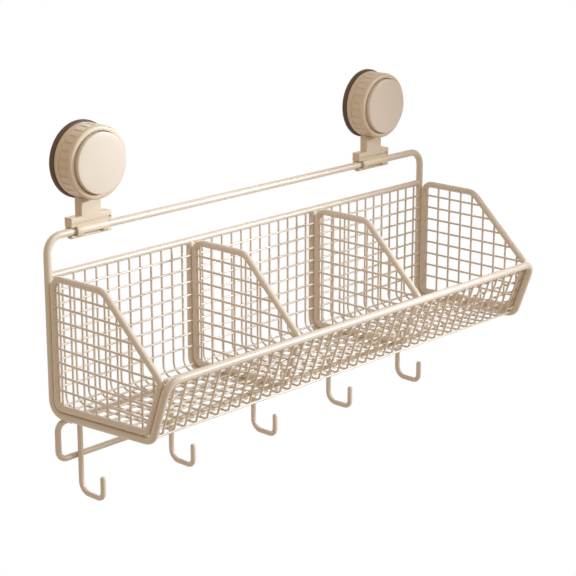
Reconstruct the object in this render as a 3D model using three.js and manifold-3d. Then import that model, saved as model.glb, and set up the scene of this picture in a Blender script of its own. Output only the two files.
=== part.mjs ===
// Hanging wire basket: a bent wire frame with welded mesh bays, panels and dividers, a hook rail with
// loose hooks, and two twist-lock suction cups whose clips hold the basket's top bar.
// Millimetres, +Z up, +Y into the wall, -Y towards the user. The origin lies on the wall, midway
// between the centres of the two suction cups.

import * as THREE from 'three';
import { mergeVertices } from 'three/addons/utils/BufferGeometryUtils.js';
import Module from 'manifold-3d';

const wasm = await Module();
wasm.setup();

// Wire gauges, as diameters
const FRAME_WIRE = 5.5;
const RAIL_WIRE = 5;
const PANEL_WIRE = 5;
const MESH_WIRE = 1.6;
const HOOK_RAIL_WIRE = 4.5;
const HOOK_WIRE = 4;

// Gap between pieces that touch, and how deep one welded wire sinks into another
const CLEARANCE = 0.3;
const WELD_DEPTH = 0.5;

// Basket frame, between wire centre lines; Y is 0 at the back wires and Z is 0 at the floor wires
const FRAME_WIDTH = 400;
const FRAME_HEIGHT = 126;
const BACK_RAIL_HEIGHT = 99;
const FLOOR_DEPTH = 101.4;
const FLOOR_RISE = 5.1;
const RIM_REACH = 117.6;
const RIM_HEIGHT = 50.3;
const BAY_COUNT = 3;
const RIB_REACH = 86;

// Bend radii of the frame wire at its centre line
const TOP_BEND = 12;
const REAR_BEND = 10.5;
const FRONT_BEND = 10;
const RIM_BEND = 10;

// End panels and dividers
const PANEL_HEIGHT = 99;
const PANEL_TOP_DEPTH = 56.5;
const PANEL_NOSE_HEIGHT = 48.5;
const PANEL_TOP_BEND = 8;
const PANEL_SHOULDER_BEND = 12;
const PANEL_NOSE_BEND = 5;
const PANEL_TOE_BEND = 5;
const PANEL_HEEL_BEND = 5;

// Mesh: cells across each bay, the wire pitch up the back, along the panels, along the floor and up the
// slope, and the bend of the mesh wires at the toe
const CELLS_PER_BAY = 13;
const CELL_HEIGHT = 9.9;
const CELL_DEPTH = 11.6;
const CELL_FLOOR = 9.9;
const CELL_SLOPE = 9.1;
const MESH_TOE_BEND = 3;
const FLOOR_FIRST_ROW = 15;
const PANEL_FIRST_UPRIGHT = 9.9;

// Hook rail and hooks; the hooks stand along the rail at shares of the frame's width
const HOOK_RAIL_OVERHANG = 3;
const HOOK_RAIL_DROP = 28;
const HOOK_RAIL_SETBACK = 7.7;
const HOOK_RAIL_BEND = 7;
const HOOK_COUNT = 5;
const HOOK_PITCH_SHARE = 0.217;
const HOOK_SHIFT_SHARE = -0.03325;
const HOOK_FLOOR = -58.5;
const HOOK_REACH = 22.9;
const HOOK_TIP_HEIGHT = 15.4;
const HOOK_HEEL_BEND = 8;
const HOOK_TOE_BEND = 5.5;
const HOOK_TAIL = 4;

// Placing of the basket on the wall; the cups stand along the top bar at shares of the frame's width
const CUP_SPACING_SHARE = 0.74875;
const BASKET_SHIFT_SHARE = 0.030625;
const BAR_STANDOFF = 8;
const BAR_DROP = 47.4;

// Suction cup: depths are measured out from the wall
const PAD_DIAMETER = 54.4;
const PAD_RIM = 3.2;
const PAD_MEMBRANE = 1.8;
const PAD_BEAD = 4.5;
const PAD_BOSS_DIAMETER = 17;
const POST_DIAMETER = 9;
const POST_FLANGE_DIAMETER = 15;
const POST_FLANGE = 1.4;
const POST_TRAVEL = 2.5;
const BASE_DIAMETER = 51.6;
const BASE_DEPTH = 4.5;
const BASE_WALL = 5.5;
const HUB_DIAMETER = 46;
const HUB_PLATE = 2.5;
const KNOB_DIAMETER = 51.6;
const KNOB_DEPTH = 12.2;
const KNOB_WALL = 2.4;
const KNOB_FACE = 2;
const KNOB_RIM = 3.3;
const KNOB_RIM_ROUND = 2.2;
const KNOB_RECESS = 1.8;
const KNOB_THREAD_WALL = 3;
const KNOB_FLUTES = 28;
const KNOB_FLUTE_DEPTH = 0.5;
const KNOB_GRIP_DEPTH = 7.5;
const DISC_GROOVE = 1;
const DISC_LIFT = 3;
const DISC_EDGE_ROUND = 0.9;
const DISC_CROWN = 0.8;

// Bracket arm and its snap clip round the top bar
const ARM_WIDTH = 17.6;
const ARM_THICKNESS = 7.4;
const ARM_SETBACK = 3.4;
const CROSSBAR_WIDTH = 36.5;
const CROSSBAR_TOP = 9.9;
const GROOVE_RISE = 4.4;
const GROOVE_WIDTH = 1;
const GROOVE_DEPTH = 0.8;
const CLIP_WALL = 1.9;
const CLIP_LEG_WIDTH = 5;
const CLIP_LEG_SPAN = 28;
const CLIP_PLATE_ANGLE = -18;
const CLIP_LIP_ANGLE = -42;
const CLIP_LEG_FOOT_ANGLE = -66;
const EDGE_ROUND = 0.8;

// Facet counts, and the largest turn between two facets of a bend
const FRAME_SIDES = 8;
const SLIM_SIDES = 6;
const MESH_SIDES = 4;
const FRAME_BEND_STEP = Math.PI / 6;
const MESH_BEND_STEP = Math.PI / 4;
const TURNED_SIDES = 28;
const BORE_SIDES = 14;
const CLIP_FACET = Math.PI / 15;

// Derived values shared by several pieces
const frameRadius = FRAME_WIRE / 2;
const panelRadius = PANEL_WIRE / 2;
const meshRadius = MESH_WIRE / 2;
const hookRadius = HOOK_WIRE / 2;
const hookRailRadius = HOOK_RAIL_WIRE / 2;
const halfWidth = FRAME_WIDTH / 2;
const bayWidth = FRAME_WIDTH / BAY_COUNT;
const panelInset = frameRadius + CLEARANCE + panelRadius;
const warpInset = HOOK_WIRE - frameRadius + CLEARANCE + meshRadius;
const weftInset = warpInset + MESH_WIRE + CLEARANCE;
const dividerInset = weftInset + meshRadius + CLEARANCE + panelRadius;

// The basket's side profile as [Y, Z]: heel, toe and rim, with the directions along and into its flats
const heel = new THREE.Vector2(0, 0);
const toe = new THREE.Vector2(-FLOOR_DEPTH, FLOOR_RISE);
const rim = new THREE.Vector2(-RIM_REACH, RIM_HEIGHT);
const floorAlong = toe.clone().sub(heel).normalize();
const slopeAlong = rim.clone().sub(toe).normalize();
const backInward = new THREE.Vector2(-1, 0);
const floorInward = new THREE.Vector2(floorAlong.y, -floorAlong.x);
const slopeInward = new THREE.Vector2(slopeAlong.y, -slopeAlong.x);
const slopeLength = rim.distanceTo(toe);

// Where two flats meet after each is moved inwards by its own inset
function insetCorner(corner, first, firstInset, second, secondInset) {
  const mix = first.dot(second);
  const scale = 1 / (1 - mix * mix);
  return corner.clone()
    .addScaledVector(first, (firstInset - mix * secondInset) * scale)
    .addScaledVector(second, (secondInset - mix * firstInset) * scale);
}

const rearBendCentre = insetCorner(heel, backInward, REAR_BEND, floorInward, REAR_BEND);

// Materials
const coatedWire = new THREE.MeshStandardMaterial({ color: 0xe4cdb2, roughness: 0.5, metalness: 0.1 });
const mouldedCream = new THREE.MeshStandardMaterial({ color: 0xe6d3c0, roughness: 0.42, metalness: 0 });
const capCream = new THREE.MeshStandardMaterial({ color: 0xeadbcc, roughness: 0.35, metalness: 0 });
const padRubber = new THREE.MeshStandardMaterial({ color: 0x4f3a2a, roughness: 0.75, metalness: 0 });
const postPlastic = new THREE.MeshStandardMaterial({ color: 0xd8cbb8, roughness: 0.5, metalness: 0 });

// A wire's centre line as a chain of points, sampled only at those points
class WirePath extends THREE.Curve {
  constructor(points, closed = false) {
    super();
    this.points = points;
    this.closed = closed;
    this.steps = closed ? points.length : points.length - 1;
  }

  pointNear(index) {
    const count = this.points.length;
    if (this.closed) return this.points[(index + count) % count];
    return this.points[Math.min(Math.max(index, 0), count - 1)];
  }

  getPoint(t, target = new THREE.Vector3()) {
    return target.copy(this.pointNear(Math.round(t * this.steps)));
  }

  getPointAt(u, target) {
    return this.getPoint(u, target);
  }

  getTangent(t, target = new THREE.Vector3()) {
    const index = Math.round(t * this.steps);
    const here = this.pointNear(index);
    const into = here.clone().sub(this.pointNear(index - 1)).normalize();
    const outOf = this.pointNear(index + 1).clone().sub(here).normalize();
    return target.copy(into).add(outOf).normalize();
  }

  getTangentAt(u, target) {
    return this.getTangent(u, target);
  }
}

// Replaces a corner by an arc of the given radius, tangent to both legs
function bend(before, corner, after, radius, facet) {
  const toBefore = before.clone().sub(corner).normalize();
  const toAfter = after.clone().sub(corner).normalize();
  const turn = Math.PI - toBefore.angleTo(toAfter);
  const tangent = radius * Math.tan(turn / 2);
  const bisector = toBefore.clone().add(toAfter).normalize();
  const centre = corner.clone().addScaledVector(bisector, radius / Math.cos(turn / 2));
  const start = corner.clone().addScaledVector(toBefore, tangent).sub(centre);
  const axis = toAfter.clone().cross(toBefore).normalize();
  const steps = Math.max(2, Math.round(turn / facet));
  return Array.from({ length: steps + 1 }, (_, i) =>
    start.clone().applyAxisAngle(axis, (turn * i) / steps).add(centre));
}

// Runs a wire through corners given as [point, bend radius]; the ends of an open wire have no radius
function bentLine(corners, closed = false, facet = FRAME_BEND_STEP) {
  const count = corners.length;
  const points = corners.flatMap(([point, radius], i) => {
    if (!radius) return [point.clone()];
    const before = corners[(i - 1 + count) % count][0];
    const after = corners[(i + 1) % count][0];
    return bend(before, point, after, radius, facet);
  });
  return new WirePath(points.filter((p, i) => i === 0 || p.distanceTo(points[i - 1]) > 1e-3), closed);
}

function polygon(radius, sides) {
  const corner = (i) => (2 * Math.PI * (i + 0.5)) / sides;
  return new THREE.Shape(Array.from({ length: sides }, (_, i) =>
    new THREE.Vector2(radius * Math.cos(corner(i)), radius * Math.sin(corner(i)))));
}

function openWire(path, radius, sides = FRAME_SIDES) {
  const options = { steps: path.steps, bevelEnabled: false, extrudePath: path };
  return new THREE.ExtrudeGeometry(polygon(radius, sides), options);
}

function closedWire(path, radius, sides = FRAME_SIDES) {
  return new THREE.TubeGeometry(path, path.steps, radius, sides, true);
}

function straightWire(start, end, radius, sides) {
  return openWire(new WirePath([start, end]), radius, sides);
}

function toSolid(geometry) {
  const bare = geometry.clone();
  bare.deleteAttribute('normal');
  bare.deleteAttribute('uv');
  const merged = mergeVertices(bare, 1e-4);
  const vertProperties = new Float32Array(merged.attributes.position.array);
  const triVerts = new Uint32Array(merged.index.array);
  const mesh = new wasm.Mesh({ numProp: 3, vertProperties, triVerts });
  mesh.merge();
  return new wasm.Manifold(mesh);
}

function toGeometry(solid) {
  const mesh = solid.getMesh();
  const geometry = new THREE.BufferGeometry();
  geometry.setAttribute('position', new THREE.BufferAttribute(new Float32Array(mesh.vertProperties), 3));
  geometry.setIndex(new THREE.BufferAttribute(new Uint32Array(mesh.triVerts), 1));
  return geometry;
}

function fuse(geometries) {
  return geometries.map(toSolid).reduce((whole, piece) => whole.add(piece));
}

function addPiece(group, name, geometry, material) {
  const mesh = new THREE.Mesh(geometry, material);
  mesh.name = name;
  group.add(mesh);
}

// U profile of the mesh from the back rail down, under and up to the rim, moved inwards by an inset
function bayProfile(x, inset, topHeight, rimGap, facet) {
  const at = (p) => new THREE.Vector3(x, p.x, p.y);
  const top = new THREE.Vector2(-inset, topHeight);
  const front = rim.clone().addScaledVector(slopeInward, inset).addScaledVector(slopeAlong, -rimGap);
  return bentLine([
    [at(top), 0],
    [at(insetCorner(heel, backInward, inset, floorInward, inset)), REAR_BEND - inset],
    [at(insetCorner(toe, floorInward, inset, slopeInward, inset)), MESH_TOE_BEND + warpInset - inset],
    [at(front), 0],
  ], false, facet);
}

// Main frame: top bar, uprights, side wires under the floor, slopes and front rim in one closed loop
function mainFrame() {
  const corner = (side, y, z, radius) => [new THREE.Vector3(side * halfWidth, y, z), radius];
  const leftDown = [
    corner(-1, 0, FRAME_HEIGHT, TOP_BEND),
    corner(-1, 0, 0, REAR_BEND),
    corner(-1, -FLOOR_DEPTH, FLOOR_RISE, FRONT_BEND),
    corner(-1, -RIM_REACH, RIM_HEIGHT, RIM_BEND),
  ];
  const rightUp = [
    corner(1, -RIM_REACH, RIM_HEIGHT, RIM_BEND),
    corner(1, -FLOOR_DEPTH, FLOOR_RISE, FRONT_BEND),
    corner(1, 0, 0, REAR_BEND),
    corner(1, 0, FRAME_HEIGHT, TOP_BEND),
  ];
  return closedWire(bentLine([...leftDown, ...rightUp], true), frameRadius);
}

function backRail() {
  const reach = halfWidth - frameRadius - CLEARANCE;
  const end = (side) => new THREE.Vector3(side * reach, 0, BACK_RAIL_HEIGHT);
  return straightWire(end(-1), end(1), RAIL_WIRE / 2, FRAME_SIDES);
}

// A rib: down the back from the rail, round the heel and forwards under the floor
function rib(x) {
  const top = BACK_RAIL_HEIGHT - RAIL_WIRE / 2 - CLEARANCE;
  const end = heel.clone().addScaledVector(floorAlong, RIB_REACH);
  return openWire(bentLine([
    [new THREE.Vector3(x, 0, top), 0],
    [new THREE.Vector3(x, 0, 0), REAR_BEND],
    [new THREE.Vector3(x, end.x, end.y), 0],
  ]), frameRadius);
}

// Outline of a panel frame's centre line, from the heel up the back and round over the sloping edge
function panelOutline(frontInset) {
  const at = (p) => new THREE.Vector3(0, p.x, p.y);
  const front = toe.clone().addScaledVector(slopeInward, frontInset);
  const nose = front.addScaledVector(slopeAlong, (PANEL_NOSE_HEIGHT - front.y) / slopeAlong.y);
  return bentLine([
    [at(insetCorner(heel, backInward, panelInset, floorInward, panelInset)), PANEL_HEEL_BEND],
    [at(new THREE.Vector2(-panelInset, PANEL_HEIGHT)), PANEL_TOP_BEND],
    [at(new THREE.Vector2(-PANEL_TOP_DEPTH, PANEL_HEIGHT)), PANEL_SHOULDER_BEND],
    [at(nose), PANEL_NOSE_BEND],
    [at(insetCorner(toe, floorInward, panelInset, slopeInward, frontInset)), PANEL_TOE_BEND],
  ], true);
}

// Where a line of constant Y or Z crosses a closed outline, as the lowest and highest other coordinate
function crossings(path, fixed, other, value) {
  const hits = path.points.flatMap((a, i) => {
    const b = path.pointNear(i + 1);
    const share = (value - a[fixed]) / (b[fixed] - a[fixed]);
    if (!(share >= 0 && share < 1)) return [];
    return [a[other] + share * (b[other] - a[other])];
  });
  return [Math.min(...hits), Math.max(...hits)];
}

// A panel: a closed wire frame filled by level wires on its outer side and upright wires on its inner side
function panel(outerSide, frontInset) {
  const outline = panelOutline(frontInset);
  const layer = meshRadius + CLEARANCE / 2;
  const nose = Math.min(...outline.points.map((p) => p.y));
  const wires = [closedWire(outline, panelRadius, SLIM_SIDES)];
  const spare = panelRadius + meshRadius;
  const lowest = panelInset + FLOOR_RISE + spare;
  for (let z = PANEL_HEIGHT - CELL_HEIGHT; z > lowest; z -= CELL_HEIGHT) {
    const ends = crossings(outline, 'z', 'y', z);
    const [a, b] = ends.map((y) => new THREE.Vector3(outerSide * layer, y, z));
    wires.push(straightWire(a, b, meshRadius, MESH_SIDES));
  }
  for (let y = -PANEL_FIRST_UPRIGHT; y > nose + spare; y -= CELL_DEPTH) {
    const ends = crossings(outline, 'y', 'z', y);
    const [a, b] = ends.map((z) => new THREE.Vector3(-outerSide * layer, y, z));
    wires.push(straightWire(a, b, meshRadius, MESH_SIDES));
  }
  return toGeometry(fuse(wires));
}

// How far the front rim has dropped at a given X, inside the frame's rounded front corners
function rimSag(x) {
  const intoBend = Math.max(0, RIM_BEND - (halfWidth - Math.abs(x)));
  return RIM_BEND - Math.sqrt(RIM_BEND ** 2 - intoBend ** 2);
}

// Bent lengthwise wires of one bay, held together by the cross wire in each bend
function bayWarp(left) {
  const top = BACK_RAIL_HEIGHT - RAIL_WIRE / 2 - CLEARANCE;
  const pitch = bayWidth / CELLS_PER_BAY;
  const wires = Array.from({ length: CELLS_PER_BAY - 1 }, (_, i) => {
    const x = left + pitch * (i + 1);
    const rimGap = frameRadius + CLEARANCE + rimSag(x);
    return openWire(bayProfile(x, warpInset, top, rimGap, MESH_BEND_STEP), meshRadius, MESH_SIDES);
  });
  const rowInset = warpInset + MESH_WIRE - WELD_DEPTH;
  const profile = bayProfile(0, rowInset, top, 0, MESH_BEND_STEP).points;
  const [, , rearRow, , , frontRow] = profile;
  const reach = pitch / 2;
  const rows = [rearRow, frontRow].map(({ y, z }) => {
    const start = new THREE.Vector3(left + reach, y, z);
    const end = new THREE.Vector3(left + bayWidth - reach, y, z);
    return straightWire(start, end, meshRadius, MESH_SIDES);
  });
  return toGeometry(fuse([...wires, ...rows]));
}

// Straight cross wires of one flat from X start to X end, welded across a stay wire on their outer side;
// the lead is how far the stay runs on past the first of them
function bayRows(rows, outward, { start, end, stay, lead = MESH_WIRE }) {
  const at = (x, p) => new THREE.Vector3(x, p.x, p.y);
  const wires = rows.map((p) => straightWire(at(start, p), at(end, p), meshRadius, MESH_SIDES));
  const along = rows.at(-1).clone().sub(rows[0]).normalize();
  const sunk = outward.clone().multiplyScalar(MESH_WIRE - WELD_DEPTH);
  const first = rows[0].clone().add(sunk).addScaledVector(along, -lead);
  const last = rows.at(-1).clone().add(sunk).addScaledVector(along, MESH_WIRE);
  wires.push(straightWire(at(stay, first), at(stay, last), meshRadius, MESH_SIDES));
  return toGeometry(fuse(wires));
}

// Cross wires between the frame wires at a bay's two sides, with the stay against the left one
function bayRun(left) {
  const edge = frameRadius + CLEARANCE;
  return { start: left + edge, end: left + bayWidth - edge, stay: left + edge + meshRadius };
}

function backRows(left) {
  const rows = [];
  for (let z = BACK_RAIL_HEIGHT - CELL_HEIGHT; z > rearBendCentre.y + MESH_WIRE; z -= CELL_HEIGHT) {
    rows.push(new THREE.Vector2(-weftInset, z));
  }
  return bayRows(rows, backInward.clone().negate(), bayRun(left));
}

function floorRows(left) {
  const rows = [];
  const onHeel = heel.clone().addScaledVector(floorInward, weftInset);
  for (let y = FLOOR_FIRST_ROW; y < FLOOR_DEPTH - MESH_TOE_BEND - 2 * MESH_WIRE; y += CELL_FLOOR) {
    rows.push(onHeel.clone().addScaledVector(floorAlong, y));
  }
  return bayRows(rows, floorInward.clone().negate(), bayRun(left));
}

// Cross wires up the front run on past the dividers, so the stay stands on the border to the next bay
// and reaches the rim
function slopeRows(left, isFirst, isLast) {
  const rows = [];
  const onRim = rim.clone().addScaledVector(slopeInward, weftInset);
  for (let down = CELL_SLOPE; down < slopeLength - FRONT_BEND; down += CELL_SLOPE) {
    rows.push(onRim.clone().addScaledVector(slopeAlong, -down));
  }
  const edge = frameRadius + CLEARANCE;
  const right = left + bayWidth;
  const start = isFirst ? left + edge : left + meshRadius + CLEARANCE;
  const run = isLast
    ? { start, end: right - edge, stay: right - edge - meshRadius }
    : { start, end: right, stay: right, lead: CELL_SLOPE - edge };
  return bayRows(rows, slopeInward.clone().negate(), run);
}

// Height of the hook rail's top bar, which lies against the frame wires where they turn under the floor
function hookRailTop() {
  const facetDepth = (REAR_BEND + frameRadius) * Math.cos(FRAME_BEND_STEP / 2);
  const reach = facetDepth + CLEARANCE + hookRailRadius;
  return rearBendCentre.y - Math.sqrt(reach ** 2 - (REAR_BEND - HOOK_RAIL_SETBACK) ** 2);
}

function hookRail() {
  const reach = halfWidth + HOOK_RAIL_OVERHANG;
  const corner = (side, z) => [new THREE.Vector3(side * reach, -HOOK_RAIL_SETBACK, z), HOOK_RAIL_BEND];
  const high = hookRailTop();
  const low = high - HOOK_RAIL_DROP;
  const loop = bentLine([corner(-1, high), corner(-1, low), corner(1, low), corner(1, high)], true);
  return closedWire(loop, hookRailRadius, SLIM_SIDES);
}

// A hook hung over the rail's top bar, leaning on its lower bar, with an upturned tip in front
function hook(x) {
  const curl = hookRailRadius + CLEARANCE + hookRadius;
  const at = (y, z) => new THREE.Vector3(x, y, z);
  const rear = -HOOK_RAIL_SETBACK + curl;
  const stem = -HOOK_RAIL_SETBACK - curl;
  const crown = hookRailTop() + curl;
  const tip = stem - HOOK_REACH;
  return openWire(bentLine([
    [at(rear, crown - curl - HOOK_TAIL), 0],
    [at(rear, crown), curl],
    [at(stem, crown), curl],
    [at(stem, HOOK_FLOOR), HOOK_HEEL_BEND],
    [at(tip, HOOK_FLOOR), HOOK_TOE_BEND],
    [at(tip, HOOK_FLOOR + HOOK_TIP_HEIGHT), 0],
  ]), hookRadius, SLIM_SIDES);
}

// Turns a closed outline of [radius, depth from the wall] about the cup's axis
function turned(outline, sides = TURNED_SIDES) {
  const points = outline.map(([radius, depth]) => new THREE.Vector2(radius, -depth));
  return new THREE.LatheGeometry(points, sides);
}

// Depths shared by the pieces of a cup
const baseRear = PAD_RIM + CLEARANCE;
const baseFront = baseRear + BASE_DEPTH;
const flangeRear = PAD_RIM + CLEARANCE;
const flangeFront = flangeRear + POST_FLANGE;
const hubRear = flangeFront + POST_TRAVEL + CLEARANCE;
const hubFront = hubRear + HUB_PLATE;
const knobRear = baseFront + CLEARANCE;
const knobFront = knobRear + KNOB_DEPTH;
const recessFloor = knobFront - KNOB_RECESS;
const faceRear = recessFloor - KNOB_FACE;
const recessRadius = KNOB_DIAMETER / 2 - KNOB_RIM;
const postFront = faceRear - POST_TRAVEL - CLEARANCE;

function suctionPad() {
  const outer = PAD_DIAMETER / 2;
  const boss = PAD_BOSS_DIAMETER / 2;
  const lip = PAD_RIM / 2;
  return turned([
    [0, PAD_RIM],
    [boss, PAD_RIM],
    [boss, PAD_MEMBRANE],
    [outer - PAD_BEAD, PAD_MEMBRANE],
    [outer - PAD_BEAD + lip, PAD_RIM],
    [outer - lip / 2, PAD_RIM],
    [outer, lip],
    [outer, 0],
    [0, 0],
  ]);
}

function post() {
  const shaft = POST_DIAMETER / 2;
  const flange = POST_FLANGE_DIAMETER / 2;
  return turned([
    [0, postFront],
    [shaft - CLEARANCE, postFront],
    [shaft, postFront - CLEARANCE],
    [shaft, flangeFront],
    [flange, flangeFront],
    [flange, flangeRear],
    [0, flangeRear],
  ], BORE_SIDES);
}

// Base of the bracket: a ring that presses the pad's bead to the wall and a plate the knob bears on
function bracketBase() {
  const bore = POST_DIAMETER / 2 + CLEARANCE;
  const outer = BASE_DIAMETER / 2;
  const hub = HUB_DIAMETER / 2;
  return turned([
    [bore, hubFront],
    [hub, hubFront],
    [hub, baseFront],
    [outer, baseFront],
    [outer, baseRear],
    [outer - BASE_WALL, baseRear],
    [outer - BASE_WALL, hubRear],
    [bore, hubRear],
    [bore, hubFront],
  ]);
}

// A rounded rectangle across the bar, standing on the wall side, extruded through its thickness
function armPlate(width, low, high) {
  const half = width / 2;
  const shape = new THREE.Shape();
  shape.moveTo(-half + EDGE_ROUND, low);
  shape.lineTo(half - EDGE_ROUND, low);
  shape.quadraticCurveTo(half, low, half, low + EDGE_ROUND);
  shape.lineTo(half, high - EDGE_ROUND);
  shape.quadraticCurveTo(half, high, half - EDGE_ROUND, high);
  shape.lineTo(-half + EDGE_ROUND, high);
  shape.quadraticCurveTo(-half, high, -half, high - EDGE_ROUND);
  shape.lineTo(-half, low + EDGE_ROUND);
  shape.quadraticCurveTo(-half, low, -half + EDGE_ROUND, low);
  const options = { depth: ARM_THICKNESS, bevelEnabled: false, curveSegments: 2 };
  return new THREE.ExtrudeGeometry(shape, options).rotateX(Math.PI / 2).translate(0, -ARM_SETBACK, 0);
}

// A length of the clip round the bar, solid to the bar's axis, between two angles in degrees that are
// counted from straight out, upwards
function clipWall(width, from, to) {
  const radius = frameRadius + CLEARANCE + CLIP_WALL;
  const start = THREE.MathUtils.degToRad(from);
  const turn = THREE.MathUtils.degToRad(to - from);
  const steps = Math.round(turn / CLIP_FACET);
  const arc = Array.from({ length: steps + 1 }, (_, i) => {
    const angle = start + (turn * i) / steps;
    return new THREE.Vector2(radius * Math.cos(angle), radius * Math.sin(angle));
  });
  const shape = new THREE.Shape([new THREE.Vector2(0, 0), ...arc]);
  const wall = new THREE.ExtrudeGeometry(shape, { depth: width, bevelEnabled: false });
  const upright = new THREE.Matrix4().makeBasis(
    new THREE.Vector3(0, -1, 0),
    new THREE.Vector3(0, 0, 1),
    new THREE.Vector3(-1, 0, 0),
  );
  return wall.translate(0, 0, -width / 2).applyMatrix4(upright).translate(0, -BAR_STANDOFF, -BAR_DROP);
}

// Bracket: the base with an arm below it, a grooved crossbar and a clip with a slotted front round the bar
function bracket() {
  const crossHigh = -BAR_DROP + CROSSBAR_TOP;
  const armTop = -BASE_DIAMETER / 2 + BASE_WALL / 2;
  const legPlace = (CLIP_LEG_SPAN - CLIP_LEG_WIDTH) / 2;
  const arms = fuse([
    armPlate(ARM_WIDTH, crossHigh - EDGE_ROUND, armTop),
    armPlate(CROSSBAR_WIDTH, -BAR_DROP + frameRadius, crossHigh),
    clipWall(CROSSBAR_WIDTH, 90, 360 + CLIP_LIP_ANGLE),
    clipWall(CLIP_LEG_SPAN, CLIP_PLATE_ANGLE, 90),
    clipWall(CLIP_LEG_WIDTH, CLIP_LEG_FOOT_ANGLE, 90).translate(-legPlace, 0, 0),
    clipWall(CLIP_LEG_WIDTH, CLIP_LEG_FOOT_ANGLE, 90).translate(legPlace, 0, 0),
  ]);
  const boreEnd = CROSSBAR_WIDTH / 2 + CLEARANCE;
  const barHole = straightWire(
    new THREE.Vector3(-boreEnd, -BAR_STANDOFF, -BAR_DROP),
    new THREE.Vector3(boreEnd, -BAR_STANDOFF, -BAR_DROP),
    (frameRadius + CLEARANCE) / Math.cos(Math.PI / BORE_SIDES),
    BORE_SIDES,
  );
  const knobRoom = turned([
    [0, knobFront],
    [KNOB_DIAMETER / 2 + CLEARANCE, knobFront],
    [KNOB_DIAMETER / 2 + CLEARANCE, baseFront],
    [0, baseFront],
  ]);
  const groove = new THREE.BoxGeometry(2 * boreEnd, 2 * GROOVE_DEPTH, GROOVE_WIDTH)
    .translate(0, -ARM_SETBACK - ARM_THICKNESS, -BAR_DROP + GROOVE_RISE + GROOVE_WIDTH / 2);
  const cut = [barHole, knobRoom, groove].map(toSolid).reduce((solid, tool) => solid.subtract(tool), arms);
  return toGeometry(cut.add(toSolid(bracketBase())));
}

// Fluted grip round the knob's side
function knobGrip() {
  const outer = KNOB_DIAMETER / 2;
  const points = Array.from({ length: KNOB_FLUTES * 2 }, (_, i) => {
    const radius = i % 2 === 0 ? outer : outer - KNOB_FLUTE_DEPTH;
    const angle = (Math.PI * i) / KNOB_FLUTES;
    return new THREE.Vector2(radius * Math.cos(angle), radius * Math.sin(angle));
  });
  const depth = KNOB_GRIP_DEPTH;
  const grip = new THREE.ExtrudeGeometry(new THREE.Shape(points), { depth, bevelEnabled: false });
  return grip.rotateX(Math.PI / 2).translate(0, -knobRear, 0);
}

function knob() {
  const outer = KNOB_DIAMETER / 2;
  const thread = POST_DIAMETER / 2 + CLEARANCE;
  const shoulder = knobRear + KNOB_GRIP_DEPTH - WELD_DEPTH;
  const shallow = KNOB_RIM_ROUND * (1 - Math.SQRT1_2);
  const body = turned([
    [0, recessFloor],
    [recessRadius, recessFloor],
    [recessRadius, knobFront],
    [outer - KNOB_RIM_ROUND, knobFront],
    [outer - shallow, knobFront - shallow],
    [outer, knobFront - KNOB_RIM_ROUND],
    [outer, shoulder],
    [0, shoulder],
  ]);
  const bearing = hubFront + CLEARANCE;
  const cavity = turned([
    [0, faceRear],
    [thread, faceRear],
    [thread, bearing],
    [thread + KNOB_THREAD_WALL, bearing],
    [thread + KNOB_THREAD_WALL, faceRear],
    [outer - KNOB_WALL, faceRear],
    [outer - KNOB_WALL, 0],
    [0, 0],
  ], BORE_SIDES * 2);
  return toGeometry(fuse([body, knobGrip()]).subtract(toSolid(cavity)));
}

// Slightly crowned disc that stands out of the knob's front recess, with a groove left round its edge
function frontDisc() {
  const radius = recessRadius - DISC_GROOVE;
  const rear = recessFloor + CLEARANCE;
  const front = knobFront + DISC_LIFT;
  const crownAt = (r) => front + DISC_CROWN * (1 - (r / radius) ** 2);
  const crown = [0, 0.5].map((share) => share * (radius - DISC_EDGE_ROUND));
  return turned([
    ...crown.map((r) => [r, crownAt(r)]),
    [radius - DISC_EDGE_ROUND, front],
    [radius, front - DISC_EDGE_ROUND],
    [radius, rear],
    [0, rear],
  ]);
}

// One suction cup with the bracket that carries the basket's bar
function suctionCup(side) {
  const cup = new THREE.Group();
  addPiece(cup, `suction_pad_${side}`, suctionPad(), padRubber);
  addPiece(cup, `post_${side}`, post(), postPlastic);
  addPiece(cup, `bracket_${side}`, bracket(), mouldedCream);
  addPiece(cup, `knob_${side}`, knob(), mouldedCream);
  addPiece(cup, `front_disc_${side}`, frontDisc(), capCream);
  return cup;
}

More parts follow.
